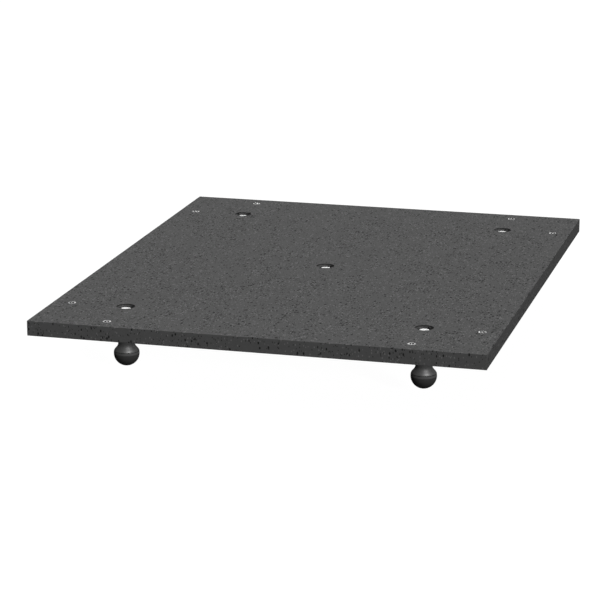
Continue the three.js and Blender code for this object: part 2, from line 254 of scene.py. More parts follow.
def loft(rings, sides, closed=False):
    """A bmesh of rings about Z, from (radius, height) in millimetres, which run up the outside.

    A radius may be a function of the angle, and a radius of 0 is a pole. A closed profile joins its last
    ring to its first.
    """
    bm = bmesh.new()
    rows = []
    for radius, height in rings:
        if radius == 0:
            rows.append([bm.verts.new((0, 0, height * MM))])
            continue
        row = []
        for i in range(sides):
            angle = TURN * i / sides
            length = (radius(angle) if callable(radius) else radius) * MM
            row.append(bm.verts.new((length * math.cos(angle), length * math.sin(angle), height * MM)))
        rows.append(row)
    if closed:
        rows.append(rows[0])
    for low, high in zip(rows, rows[1:]):
        for i in range(sides):
            j = (i + 1) % sides
            if len(low) == 1:
                bm.faces.new((low[0], high[j], high[i]))
            elif len(high) == 1:
                bm.faces.new((low[i], low[j], high[0]))
            else:
                bm.faces.new((low[i], low[j], high[j], high[i]))
    return bm


def shade(mesh, name, amount):
    """Fills an attribute that a material reads. amount gives each face's value, from 0 to 1."""
    values = mesh.attributes.new(name, "FLOAT", "CORNER").data
    for face in mesh.polygons:
        for corner in face.loop_indices:
            values[corner].value = amount(face)


def piece(name, bm, place=(0, 0, 0)):
    """A new object from a bmesh, with rounded faces smooth and sharp edges crisp."""
    mesh = bpy.data.meshes.new(name)
    bm.to_mesh(mesh)
    bm.free()
    mesh.polygons.foreach_set("use_smooth", [True] * len(mesh.polygons))
    mesh.set_sharp_from_angle(angle=SMOOTH_BELOW)
    made = bpy.data.objects.new(name, mesh)
    made.location = place
    bpy.context.scene.collection.objects.link(made)
    return made


def join_cutters(cutters):
    """One bmesh from several (bmesh, place) pairs that don't touch each other."""
    whole = bmesh.new()
    for bm, place in cutters:
        bm.transform(Matrix.Translation(place))
        part = bpy.data.meshes.new("part")
        bm.to_mesh(part)
        bm.free()
        whole.from_mesh(part)
        bpy.data.meshes.remove(part)
    return whole


def carve(target, cutters):
    """Cuts the cutters out of an object's mesh."""
    tool = piece("tool", join_cutters(cutters))
    modifier = target.modifiers.new("carve", "BOOLEAN")
    modifier.operation = "DIFFERENCE"
    modifier.solver = "MANIFOLD"
    modifier.object = tool
    bpy.context.view_layer.update()
    carved = bpy.data.meshes.new_from_object(target.evaluated_get(bpy.context.evaluated_depsgraph_get()))
    target.modifiers.clear()
    target.data = carved
    bpy.data.objects.remove(tool)
    flatten_planes(carved)


def flatten_planes(mesh):
    """Flat shading on level and upright plane faces.

    Without it, a smooth edge beside such a face would bend its shading.
    """
    mesh.set_sharp_from_angle(angle=SMOOTH_BELOW)
    for face in mesh.polygons:
        level = abs(face.normal.z) > 0.99999
        upright = max(abs(face.normal.x), abs(face.normal.y)) > 0.99999
        face.use_smooth = not (level or upright)


def slab(low, high, top_edge, bottom_edge, upright_edge):
    """A box with eased edges, as a bmesh: the three widths are of its top, bottom and upright edges."""
    bm = bmesh.new()
    bmesh.ops.create_cube(bm, size=1)
    size = high - low
    bm.transform(Matrix.Translation((low + high) / 2) @ Matrix.Diagonal((*size, 1)))
    middle_height = (low.z + high.z) / 2
    for kind, width in (("upright", upright_edge), ("top", top_edge), ("bottom", bottom_edge)):
        edges = []
        for edge in bm.edges:
            first, second = (vert.co for vert in edge.verts)
            upright = abs(first.z - second.z) > size.z / 2
            outer = all(min(abs(v.z - low.z), abs(v.z - high.z)) < 1e-7 for v in (first, second))
            if not upright and not outer:
                continue
            where = "upright" if upright else ("top" if first.z > middle_height else "bottom")
            if where == kind:
                edges.append(edge)
        bmesh.ops.bevel(bm, geom=edges, offset=width * MM, segments=2, profile=0.5, affect="EDGES")
    return bm


# ---- Materials -----------------------------------------------------------------------------------


class Nodes:
    """A short way to write a node tree: each call adds a node, sets its values and links its inputs."""

    def __init__(self, owner):
        """Empties the tree of an owner, which is a new material or world."""
        owner.use_nodes = True
        self.owner = owner
        self.tree = owner.node_tree
        self.tree.nodes.clear()

    def add(self, kind, inputs=None, **settings):
        node = self.tree.nodes.new(kind)
        for key, value in settings.items():
            setattr(node, key, value)
        for key, value in (inputs or {}).items():
            if isinstance(value, bpy.types.NodeSocket):
                self.tree.links.new(value, node.inputs[key])
            else:
                node.inputs[key].default_value = value
        return node

    def millimetres(self, scale=(1, 1, 1)):
        """The piece's own coordinates, in millimetres times a scale."""
        coordinates = self.add("ShaderNodeTexCoord")
        mapped = self.add(
            "ShaderNodeMapping",
            {"Vector": coordinates.outputs["Object"], "Scale": tuple(s / MM for s in scale)},
        )
        return mapped.outputs["Vector"]

    def noise(self, vector, scale, detail=2.0, roughness=0.5):
        made = self.add(
            "ShaderNodeTexNoise",
            {"Vector": vector, "Scale": scale, "Detail": detail, "Roughness": roughness},
        )
        return made.outputs["Fac"]

    def math(self, operation, *values):
        return self.add("ShaderNodeMath", dict(enumerate(values)), operation=operation).outputs[0]

    def spread(self, value, low, high, to_low, to_high, smooth=False):
        """Maps the range from low to high onto the range from to_low to to_high."""
        made = self.add(
            "ShaderNodeMapRange",
            {"Value": value, "From Min": low, "From Max": high, "To Min": to_low, "To Max": to_high},
            interpolation_type="SMOOTHSTEP" if smooth else "LINEAR",
        )
        return made.outputs["Result"]

    def grey(self, value):
        made = self.add("ShaderNodeCombineColor", {"Red": value, "Green": value, "Blue": value})
        return made.outputs["Color"]

    def bump(self, height, strength, distance):
        """Small relief from a height between 0 and 1, whose distance is in millimetres."""
        inputs = {"Height": height, "Strength": strength, "Distance": distance * MM}
        return self.add("ShaderNodeBump", inputs).outputs["Normal"]

    def finish(self, **inputs):
        """Ends a material's tree with a surface that has these inputs, and returns the material."""
        values = {key.replace("_", " "): value for key, value in inputs.items()}
        shader = self.add("ShaderNodeBsdfPrincipled", values)
        self.add("ShaderNodeOutputMaterial", {"Surface": shader.outputs[0]})
        return self.owner


def flecks(nodes, vector, growth, cell, smallest, largest, share):
    """Scattered specks: 1 inside a speck and 0 outside.

    cell is their spacing and the sizes are radii, in millimetres. growth multiplies the radii, and share
    is how many of the cells hold a speck.
    """
    cells = nodes.add("ShaderNodeTexVoronoi", {"Vector": vector, "Scale": 1 / cell}, feature="F1")
    chance = nodes.add("ShaderNodeSeparateColor", {"Color": cells.outputs["Color"]})
    size = nodes.spread(chance.outputs["Green"], 0, 1, smallest / cell, largest / cell)
    size = nodes.math("MULTIPLY", size, growth)
    here = nodes.math("LESS_THAN", chance.outputs["Red"], share)
    edge = nodes.math("SUBTRACT", size, cells.outputs["Distance"])
    inside = nodes.spread(edge, 0, 0.25 * smallest / cell, 0, 1, smooth=True)
    return nodes.math("MULTIPLY", inside, here)


def board_material():
    """A charcoal board with black specks, paler ones and a slight mottle.

    The specks are larger on the level faces than on the cut edges. A face attribute darkens the lips
    and the upper walls of the foot holes: this is painted shade.
    """
    nodes = Nodes(bpy.data.materials.new("flecked_charcoal_board"))
    vector = nodes.millimetres((1, 0.55, 0.55))
    mottle = nodes.noise(vector, 0.05, 3.0, 0.6)
    grain = nodes.noise(vector, 0.8, 2.0, 0.6)
    base = nodes.spread(mottle, 0.3, 0.7, 0.08, 0.086)
    base = nodes.math("MULTIPLY", base, nodes.spread(grain, 0.25, 0.75, 0.93, 1.07))
    normal = nodes.add("ShaderNodeNewGeometry").outputs["True Normal"]
    level = nodes.math("ABSOLUTE", nodes.add("ShaderNodeSeparateXYZ", {"Vector": normal}).outputs["Z"])
    growth = nodes.spread(level, 0.5, 0.9, 1.0, 1.45)
    crowding = nodes.noise(vector, 0.03, 2.0, 0.5)
    share = nodes.spread(crowding, 0.35, 0.65, 0.25, 0.75)
    black = flecks(nodes, vector, growth, cell=4.2, smallest=0.4, largest=1.15, share=share)
    fine_black = flecks(nodes, vector, growth, cell=2.0, smallest=0.3, largest=0.62, share=share)
    pale = flecks(nodes, vector, growth, cell=2.7, smallest=0.4, largest=0.9, share=share)
    black = nodes.math("MULTIPLY", black, 0.85)
    fine_black = nodes.math("MULTIPLY", fine_black, 0.75)
    dark = nodes.math("MAXIMUM", black, fine_black)
    base = nodes.math("MULTIPLY", base, nodes.math("SUBTRACT", 1.0, dark))
    base = nodes.math("MULTIPLY", base, nodes.math("ADD", 1.0, nodes.math("MULTIPLY", pale, 0.8)))
    # Painted shade: the lips and upper walls of the foot holes are darkened in colour
    sealed = nodes.add("ShaderNodeAttribute", attribute_name="sealed").outputs["Fac"]
    base = nodes.math("MULTIPLY", base, nodes.spread(sealed, 0, 1, 1.0, 0.06))
    rough = nodes.spread(grain, 0.2, 0.8, 0.62, 0.8)
    texture = nodes.noise(vector, 1.6, 3.0, 0.65)
    relief = nodes.math("SUBTRACT", texture, nodes.math("MULTIPLY", dark, 0.3))
    return nodes.finish(
        Base_Color=nodes.grey(base),
        Roughness=rough,
        Specular_IOR_Level=0.25,
        Normal=nodes.bump(relief, 0.25, 0.12),
    )


def rubber_material():
    """Moulded black rubber: satin on the flare, duller on the neck, and darker on its lower half.

    The darker lower half of the ball is painted shade. The seam between ball and flare is darker
    still, also painted shade.
    """
    nodes = Nodes(bpy.data.materials.new("moulded_black_rubber"))
    vector = nodes.millimetres()
    height = nodes.add("ShaderNodeSeparateXYZ", {"Vector": vector}).outputs["Z"]
    upper = nodes.spread(height, BALL_RADIUS - 0.5, BALL_RADIUS, 0, 1, smooth=True)
    below_neck = nodes.spread(height, BALL_RADIUS + 5, BALL_RADIUS + 11, 1, 0.1, smooth=True)
    satin = nodes.math("MULTIPLY", upper, below_neck)
    bloom = nodes.noise(vector, 0.12, 3.0, 0.6)
    pebble = nodes.noise(vector, 3.5, 2.0, 0.5)
    seam = nodes.math("COMPARE", height, BALL_RADIUS + FLARE_START_RISE, SEAM_SHADE_HALF_WIDTH)
    # Painted shade: the lower half of the ball is darker in colour than the upper part
    level = nodes.spread(upper, 0, 1, 0.021, 0.04)
    # Painted shade: the band around the seam's groove is darkened in colour
    level = nodes.math("MULTIPLY", level, nodes.spread(seam, 0, 1, 1.0, 0.3))
    satin = nodes.math("MULTIPLY", satin, nodes.spread(seam, 0, 1, 1.0, 0.2))
    level = nodes.math("MULTIPLY", level, nodes.spread(bloom, 0.3, 0.7, 0.93, 1.07))
    rough = nodes.spread(upper, 0, 1, 0.6, 0.5)
    rough = nodes.math("ADD", rough, nodes.spread(bloom, 0.3, 0.7, -0.02, 0.02))
    return nodes.finish(
        Base_Color=nodes.grey(level),
        Roughness=rough,
        Specular_IOR_Level=nodes.spread(satin, 0, 1, 0.3, 0.75),
        Normal=nodes.bump(pebble, 0.1, 0.05),
    )


def steel_material(name, bright, dark, roughest, smoothest, streaks):
    """Bare or plated steel: brightness varies a little, and fine turned marks run round the Z axis.

    A face attribute darkens the recesses of the screws' sockets: this is painted shade.
    """
    nodes = Nodes(bpy.data.materials.new(name))
    cloud = nodes.noise(nodes.millimetres(), 0.35, 3.0, 0.6)
    marks = nodes.noise(nodes.millimetres((0.4, 0.4, 5)), 1.2, 3.0, 0.6)
    level = nodes.spread(cloud, 0.3, 0.7, dark, bright)
    # Painted shade: the recesses of the screws' sockets are darkened in colour
    soiled = nodes.add("ShaderNodeAttribute", attribute_name="soiled").outputs["Fac"]
    level = nodes.math("MULTIPLY", level, nodes.spread(soiled, 0, 1, 1.0, 0.1))
    return nodes.finish(
        Base_Color=nodes.grey(level),
        Metallic=1.0,
        Roughness=nodes.spread(marks, 0.25, 0.75, smoothest, roughest),
        Normal=nodes.bump(marks, streaks, 0.03),
    )


def coated_material():
    """Powder-coated steel plate with a slight orange peel, and paler where the coat is thin."""
    nodes = Nodes(bpy.data.materials.new("black_powder_coat"))
    vector = nodes.millimetres()
    peel = nodes.noise(vector, 0.9, 2.0, 0.5)
    cloud = nodes.noise(vector, 0.08, 3.0, 0.6)
    return nodes.finish(
        Base_Color=nodes.grey(nodes.spread(cloud, 0.3, 0.7, 0.022, 0.034)),
        Roughness=nodes.spread(peel, 0.3, 0.7, 0.42, 0.56),
        Normal=nodes.bump(peel, 0.3, 0.08),
    )


BOARD = board_material()
RUBBER = rubber_material()
ZINC = steel_material(
    "zinc_plated_steel", bright=0.86, dark=0.78, roughest=0.42, smoothest=0.36, streaks=0.03
)
SPRING = steel_material(
    "spring_steel", bright=0.42, dark=0.32, roughest=0.38, smoothest=0.28, streaks=0.1
)
BLACKENED = steel_material(
    "blackened_steel", bright=0.1, dark=0.06, roughest=0.5, smoothest=0.38, streaks=0.15
)
COATED = coated_material()


def place(made, node, material, slot):
    """Gives a piece its finish, and makes it stand for a CAD node and ride on that node's body."""
    made.data.materials.clear()
    made.data.materials.append(material)
    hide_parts(node)
    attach(made, next(body for body, members in BODIES.items() if node in members))


# ---- The board -----------------------------------------------------------------------------------


def plain_hole(radius, bottom, top, sides, lip=0.0):
    """A straight hole from below the bottom to above the top, which may open out at a lip."""
    rings = [(0, bottom - OVERSHOOT), (radius, bottom - OVERSHOOT)]
    mouth = radius + lip
    if lip:
        # The ring at this depth bounds the painted shade on the hole's upper wall
        rings += [(radius, top - RIM_SHADE_DEPTH), (radius, top - lip)]
        rings += [(radius + 0.3 * lip, top - 0.3 * lip), (mouth, top + CLEAR)]
    else:
        rings.append((radius, top))
    return loft([*rings, (mouth, top + OVERSHOOT), (0, top + OVERSHOOT)], sides)


def screw_hole():
    """The countersunk hole for a screw, with its nut's pocket below."""
    seat_top = DECK_TOP - SCREW_SINK - SCREW_HEAD_RIM
    seat_bottom = seat_top - (SCREW_HEAD_RADIUS - SCREW_RADIUS)
    shank = SCREW_RADIUS + FIT
    head = SCREW_HEAD_RADIUS + FIT
    pocket = NUT_BODY_RADIUS + FIT
    pocket_top = DECK_BOTTOM + NUT_BODY_HEIGHT + FIT
    mouth = 0.12
    profile = [
        (0, DECK_BOTTOM - OVERSHOOT),
        (pocket, DECK_BOTTOM - OVERSHOOT),
        (pocket, pocket_top),
        (shank, pocket_top),
        (shank, seat_bottom),
        (head, seat_top),
        (head, DECK_TOP - 0.1),
        (head + mouth, DECK_TOP + 0.02),
        (head + mouth, DECK_TOP + OVERSHOOT),
        (0, DECK_TOP + OVERSHOOT),
    ]
    return loft(profile, SMALL)


def make_board():
    """The flecked board, with its holes for the feet, the screws and the middle bush's screws."""
    edges = (DECK_TOP_EDGE, DECK_BOTTOM_EDGE, DECK_UPRIGHT_EDGE)
    made = piece("deck_board", slab(DECK_LOW * MM, DECK_HIGH * MM, *edges))
    axes = [middle(f"spindle_{name}") for name in FEET]
    cutters = [(plain_hole(FOOT_HOLE_RADIUS, DECK_BOTTOM, DECK_TOP, FINE, LIP), axis) for axis in axes]
    cutters += [(screw_hole(), middle(f"deck_screw_{name}")) for name in SCREW_PLACES]
    for node in BUSH_SCREWS:
        pilot_top = levels(node)[1] + FIT - OVERSHOOT
        pilot = plain_hole(WOOD_SCREW_RADIUS + FIT, DECK_BOTTOM, pilot_top, SMALL)
        cutters.append((pilot, middle(node)))
    carve(made, cutters)

    # Painted shade: the lips get the full darkening and the upper walls a part of it
    def paint_rim_shade(face):
        depth = DECK_TOP - face.center.z / MM
        reach = min((face.center.xy - axis.xy).length for axis in axes) / MM
        if depth < CLEAR or depth > RIM_SHADE_DEPTH or abs(reach - FOOT_HOLE_RADIUS) > LIP:
            return 0.0
        return 1.0 if depth < LIP else 0.6

    shade(made.data, "sealed", paint_rim_shade)
    place(made, "deck", BOARD, "deck_board")


# ---- Feet and their screw mechanism --------------------------------------------------------------


def make_foot(name):
    """The moulded foot: a ball with a small flat, a hollow flare, a neck and the hole for the socket."""
    centre = math.sqrt(BALL_RADIUS**2 - BALL_FLAT_RADIUS**2)
    flat = -math.degrees(math.acos(BALL_FLAT_RADIUS / BALL_RADIUS))
    end = math.degrees(math.asin(FLARE_START_RISE / BALL_RADIUS))
    ball = arc(0, centre, BALL_RADIUS, flat, end, 40)
    first = Vector(ball[-1])
    seam = [(first.x + x, first.y + y) for x, y in SEAM]
    last = Vector((NECK_RADIUS, centre + FLARE_END_RISE))
    controls = (first, first + Vector(FLARE_START_PULL), last + Vector(FLARE_END_PULL), last)
    flare = []
    steps = 20
    for i in range(1, steps + 1):
        t = i / steps
        weights = ((1 - t) ** 3, 3 * t * (1 - t) ** 2, 3 * t * t * (1 - t), t**3)
        flare.append(tuple(sum((w * p for w, p in zip(weights, controls)), Vector((0, 0)))))
    bore = SWIVEL_SOCKET_RADIUS + FIT
    bore_bottom = SOCKET_BOTTOM - FIT
    neck = [flare[-1], (NECK_RADIUS, NECK_TOP), (bore, NECK_TOP), (bore, bore_bottom)]
    neck = eased(neck, NECK_TOP_ROUNDING, 5)
    rings = [(0, FOOT_BOTTOM), *ball, *seam, *flare, *neck[1:], (0, bore_bottom)]
    made = piece(f"rubber_foot_{name}", loft(rings, FINE), middle(f"foot_{name}"))
    place(made, f"foot_{name}", RUBBER, "foot_rubber")


def make_socket(name):
    """The blackened socket in the foot. Its collar shows above the neck, and a groove holds the ring."""
    bore = JOURNAL_RADIUS + RUNNING
    groove = RING_OUTER_RADIUS + GAP
    collar_bottom = NECK_TOP + GAP
    socket_floor = SOCKET_BOTTOM + SWIVEL_SOCKET_FLOOR
    outside = [
        (0, SOCKET_BOTTOM),
        (SWIVEL_SOCKET_RADIUS, SOCKET_BOTTOM),
        (SWIVEL_SOCKET_RADIUS, collar_bottom),
        (COLLAR_RADIUS, collar_bottom),
        (COLLAR_RADIUS, SOCKET_TOP),
        (bore, SOCKET_TOP),
    ]
    inside = [
        (bore, RING_TOP + GAP),
        (groove, RING_TOP + GAP),
        (groove, RING_BOTTOM - GAP),
        (bore, RING_BOTTOM - GAP),
        (bore, socket_floor),
        (0, socket_floor),
    ]
    rings = [*eased(outside, 0.3), *inside]
    made = piece(f"collared_socket_{name}", loft(rings, MEDIUM), middle(f"swivel_socket_{name}"))
    place(made, f"swivel_socket_{name}", BLACKENED, "blackened_steel")


def make_spindle(name):
    """The M16 spindle: a grooved journal, a chamfered hexagon, the thread, and a plain chamfered end."""
    flats = hexagon(HEXAGON_ACROSS_FLATS)
    apothem = HEXAGON_ACROSS_FLATS / 2
    turned_corner = smaller(flats, apothem * 1.08)
    groove = RING_INNER_RADIUS - GAP
    groove_bottom, groove_top = RING_BOTTOM - 0.1, RING_TOP + 0.1
    thread_bottom = HEXAGON_TOP + SPINDLE_RELIEF_LENGTH
    end_radius = SPINDLE_RADIUS - SPINDLE_CHAMFER
    rings = [
        (0, SPINDLE_BOTTOM),
        (JOURNAL_RADIUS - 0.6, SPINDLE_BOTTOM),
        (JOURNAL_RADIUS, SPINDLE_BOTTOM + 0.6),
        (JOURNAL_RADIUS, groove_bottom),
        (groove, groove_bottom),
        (groove, groove_top),
        (JOURNAL_RADIUS, groove_top),
        (JOURNAL_RADIUS, HEXAGON_BOTTOM),
        (apothem * 0.96, HEXAGON_BOTTOM),
        (turned_corner, HEXAGON_BOTTOM + 0.5),
        (flats, HEXAGON_BOTTOM + 1.0),
        (flats, HEXAGON_TOP - 1.0),
        (turned_corner, HEXAGON_TOP - 0.5),
        (apothem * 0.96, HEXAGON_TOP),
        (SPINDLE_RELIEF_RADIUS + 0.3, HEXAGON_TOP),
        (SPINDLE_RELIEF_RADIUS, HEXAGON_TOP + 0.3),
        (SPINDLE_RELIEF_RADIUS, thread_bottom - 0.4),
        *thread(SPINDLE_RADIUS, SPINDLE_PITCH, thread_bottom, SPINDLE_TOP - SPINDLE_CHAMFER, 1.5, 0.7),
        (end_radius + 0.12, SPINDLE_TOP - 0.12),
        (end_radius - 0.05, SPINDLE_TOP),
        (0, SPINDLE_TOP),
    ]
    made = piece(f"threaded_spindle_{name}", loft(rings, MEDIUM), middle(f"spindle_{name}"))
    place(made, f"spindle_{name}", ZINC, "zinc_steel")


def make_ring(name):
    """The open spring ring, with a rounded section."""
    bm = bmesh.new()
    section = [
        (RING_INNER_RADIUS, RING_BOTTOM + 0.5),
        (RING_INNER_RADIUS, RING_BOTTOM),
        (RING_OUTER_RADIUS, RING_BOTTOM),
        (RING_OUTER_RADIUS, RING_TOP),
        (RING_INNER_RADIUS, RING_TOP),
        (RING_INNER_RADIUS, RING_BOTTOM + 0.6),
    ]
    section = eased(section, 0.25, 2)[:-1]
    steps = 48
    rows = []
    for i in range(steps + 1):
        angle = RING_HALF_GAP + (TURN - 2 * RING_HALF_GAP) * i / steps
        across, along = math.cos(angle) * MM, math.sin(angle) * MM
        rows.append([bm.verts.new((r * across, r * along, z * MM)) for r, z in section])
    for low, high in zip(rows, rows[1:]):
        for j, k in zip(range(len(section)), [*range(1, len(section)), 0]):
            bm.faces.new((low[j], low[k], high[k], high[j]))
    bm.faces.new(rows[0][::-1])
    bm.faces.new(rows[-1])
    bmesh.ops.recalc_face_normals(bm, faces=bm.faces)
    made = piece(f"spring_ring_{name}", bm, middle(f"spindle_{name}"))
    place(made, f"retaining_ring_{name}", SPRING, "spring_steel")


def make_bush(name):
    """The flanged bush. The middle one's flange has four holes for its screws."""
    low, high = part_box(f"bush_{name}")
    flange_radius = (high.x - low.x) / 2 / MM
    bottom, top = levels(f"bush_{name}")
    flange_top = bottom + FLANGE_THICKNESS
    bore = SPINDLE_RADIUS + RUNNING
    profile = [
        (bore + 0.7, bottom),
        (flange_radius - 0.5, bottom),
        (flange_radius, bottom + 0.5),
        (flange_radius, flange_top - 0.3),
        (flange_radius - 0.3, flange_top),
        (BARREL_RADIUS, flange_top),
        (BARREL_RADIUS, top - 0.6),
        (BARREL_RADIUS - 0.6, top),
        (bore + 0.5, top),
        (bore, top - 0.5),
        (bore, bottom + 0.7),
    ]
    made = piece(f"flanged_bush_{name}", loft(profile, FINE, closed=True), middle(f"bush_{name}"))
    if name == "centre":
        carve(made, [(wood_screw_hole(bottom, flange_top), middle(node)) for node in BUSH_SCREWS])
    place(made, f"bush_{name}", BLACKENED, "blackened_steel")


def wood_screw_hole(bottom, top):
    """A hole through the middle bush's flange, with an eased lower edge."""
    radius = WOOD_SCREW_RADIUS + FIT
    edge = 0.35
    rings = [
        (0, bottom - OVERSHOOT),
        (radius + edge, bottom - OVERSHOOT),
        (radius + edge, bottom),
        (radius, bottom + edge),
        (radius, top + OVERSHOOT),
        (0, top + OVERSHOOT),
    ]
    return loft(rings, SMALL)


# ---- Plates and fasteners ------------------------------------------------------------------------


def plate_outline():
    """The outline of a corner plate about the foot's axis: arms along +X and +Y with a wider heel."""
    half = PLATE_ARM_WIDTH / 2
    web = PLATE_HEEL + half
    root = web + PLATE_HEEL - half
    one_arm = [(-PLATE_HEEL, -PLATE_HEEL), (web, -PLATE_HEEL), (root, -half), (PLATE_REACH, -half)]
    one_arm += [(PLATE_REACH, half), (root, half)]
    return one_arm + [(y, x) for x, y in one_arm[:0:-1]]


def rounded_loop(points, radius, steps):
    """A closed outline with each corner rounded."""
    count = len(points)
    made = []
    for i, corner in enumerate(points):
        near = [points[i - 1], corner, points[(i + 1) % count]]
        made += eased(near, radius, steps)[1:-1]
    return made


def make_plate(name):
    """The coated L-shaped plate under a corner, with eased edges and holes for its bush and nuts."""
    node = f"foot_plate_{name}"
    bottom, top = levels(node)
    across = 1 if name.endswith("right") else -1
    along = 1 if name.startswith("back") else -1
    axis = middle(f"foot_{name}")
    bm = bmesh.new()
    outline = rounded_loop(plate_outline(), PLATE_CORNER_RADIUS, 6)
    face = bm.faces.new([bm.verts.new((x * MM, y * MM, bottom * MM)) for x, y in outline])
    raised = bmesh.ops.extrude_face_region(bm, geom=[face])
    verts = [item for item in raised["geom"] if isinstance(item, bmesh.types.BMVert)]
    bmesh.ops.translate(bm, verts=verts, vec=(0, 0, (top - bottom) * MM))
    bmesh.ops.recalc_face_normals(bm, faces=bm.faces)
    rims = [edge for edge in bm.edges if abs(edge.verts[0].co.z - edge.verts[1].co.z) < 1e-7]
    bmesh.ops.bevel(bm, geom=rims, offset=PLATE_EDGE * MM, segments=2, profile=0.5, affect="EDGES")
    bmesh.ops.scale(bm, vec=(across, along, 1), verts=bm.verts)
    bm.transform(Matrix.Translation(axis))
    bmesh.ops.recalc_face_normals(bm, faces=bm.faces)
    made = piece(f"coated_plate_{name}", bm)
    holes = [(plain_hole(FOOT_HOLE_RADIUS, bottom, top, FINE), axis)]
    for side in ("side", "end"):
        nut_hole = plain_hole(NUT_SHANK_RADIUS + FIT, bottom, top, SMALL)
        holes.append((nut_hole, middle(f"clinch_nut_{name}_{side}")))
    carve(made, holes)
    place(made, node, COATED, "coated_steel")


def make_deck_screw(name):
    """The M6 countersunk screw, with a cut thread and a hexagonal socket around a pin."""
    node = f"deck_screw_{name}"
    bottom, top = levels(node)
    seat_top = top - SCREW_HEAD_RIM
    seat_bottom = seat_top - (SCREW_HEAD_RADIUS - SCREW_RADIUS)
    socket = hexagon(SCREW_SOCKET_ACROSS_FLATS)
    socket_mouth = hexagon(SCREW_SOCKET_ACROSS_FLATS + 0.3)
    socket_floor = top - SCREW_SOCKET_DEPTH
    pin_top = top - SCREW_PIN_SINK
    rings = [
        (0, bottom),
        (SCREW_RADIUS - 0.6, bottom),
        *thread(SCREW_RADIUS, SCREW_PITCH, bottom + 0.4, seat_bottom - 0.5, 0.5, 1.0, rows_per_turn=6),
        (SCREW_RADIUS, seat_bottom),
        (SCREW_HEAD_RADIUS, seat_top),
        (SCREW_HEAD_RADIUS, top - 0.15),
        (SCREW_HEAD_RADIUS - 0.04, top - 0.05),
        (SCREW_HEAD_RADIUS - 0.14, top),
        (socket_mouth, top),
        (socket, top - 0.15),
        (socket, socket_floor),
        (SCREW_PIN_RADIUS, socket_floor),
        (SCREW_PIN_RADIUS, pin_top - 0.15),
        (SCREW_PIN_RADIUS - 0.15, pin_top),
        (0, pin_top),
    ]
    made = piece(f"countersunk_screw_{name}", loft(rings, SMALL), middle(node))

    # Painted shade: marks the socket's walls and floor, whose colour is darkened
    def paint_socket_shade(face):
        reach = face.center.xy.length / MM
        in_socket = SCREW_PIN_RADIUS * 0.95 < reach < SCREW_SOCKET_ACROSS_FLATS * 0.57
        return 1.0 if in_socket and face.center.z < (top - 0.06) * MM else 0.0

    shade(made.data, "soiled", paint_socket_shade)
    place(made, node, ZINC, "zinc_steel")


def make_clinch_nut(name):
    """The clinch nut: a round body in the board and a shank that is pressed into the plate."""
    node = f"clinch_nut_{name}"
    bottom, top = levels(node)
    shoulder = top - NUT_BODY_HEIGHT
    bore = SCREW_RADIUS + FIT / 2
    edge, fine_edge = 0.3, 0.2
    profile = [
        (bore + edge, bottom),
        (NUT_SHANK_RADIUS - fine_edge, bottom),
        (NUT_SHANK_RADIUS, bottom + fine_edge),
        (NUT_SHANK_RADIUS, shoulder),
        (NUT_BODY_RADIUS - fine_edge, shoulder),
        (NUT_BODY_RADIUS, shoulder + fine_edge),
        (NUT_BODY_RADIUS, top - edge),
        (NUT_BODY_RADIUS - edge, top),
        (bore + edge, top),
        (bore, top - edge),
        (bore, bottom + edge),
    ]
    made = piece(f"round_clinch_nut_{name}", loft(profile, SMALL, closed=True), middle(node))
    place(made, node, ZINC, "zinc_steel")


def make_wood_screw(node):
    """The pan-head wood screw that points up into the board, with a cross recess in its head."""
    bottom, top = levels(node)
    under_head = bottom + WOOD_SCREW_HEAD_HEIGHT
    dome_base = bottom + WOOD_SCREW_DOME_HEIGHT
    flattening = WOOD_SCREW_DOME_HEIGHT / WOOD_SCREW_HEAD_RADIUS
    quarter = arc(0, 0, WOOD_SCREW_HEAD_RADIUS, -90, 0, 10)
    dome = [(x, dome_base + y * flattening) for x, y in quarter]
    recess_mouth, recess_floor = cross(1.75, 0.42), cross(1.1, 0.3)
    recess_reach, recess_depth = 2.1, 1.3
    thread_ends = under_head + 0.4, top - WOOD_SCREW_POINT
    rings = [
        (0, bottom + recess_depth + 0.3),
        (recess_floor, bottom + recess_depth),
        (recess_mouth, bottom + 0.2),
        *[(x, y) for x, y in dome if x > recess_reach],
        (WOOD_SCREW_HEAD_RADIUS, under_head),
        (WOOD_SCREW_RADIUS, under_head),
        *thread(WOOD_SCREW_RADIUS, WOOD_SCREW_PITCH, *thread_ends, fade_bottom=1.0, rows_per_turn=8),
        (0, top),
    ]
    made = piece(f"pan_head_{node}", loft(rings, FINE), middle(node))
    place(made, node, ZINC, "zinc_steel")


# ---- Camera, floor and light ---------------------------------------------------------------------

CAMERA_AZIMUTH = 14.94  # degrees from the front, towards the right
CAMERA_ELEVATION = 15.16
CAMERA_DISTANCE = 3.404  # metres, as are the shifts
CAMERA_SHIFT_LEFT = 0.0357
CAMERA_SHIFT_DOWN = 0.0478
CAMERA_LENS = 146.27  # for a sensor 36 mm wide

FRONT_RIGHT = -45  # where the lamps are, in degrees from +X
BACK = 105
BACK_LEFT = 125

# Light levels, where 1 is an even white surround
SURROUND_ABOVE = 0.096
SURROUND_BELOW = 0.048
SCREEN = 0.32
FLOOR_GLOW = 0.985


def camera_back():
    """The direction from the platform to the camera: a little to its right, and at a low angle."""
    azimuth, elevation = math.radians(CAMERA_AZIMUTH), math.radians(CAMERA_ELEVATION)
    flat = math.cos(elevation)
    return Vector((math.sin(azimuth) * flat, -math.cos(azimuth) * flat, math.sin(elevation)))


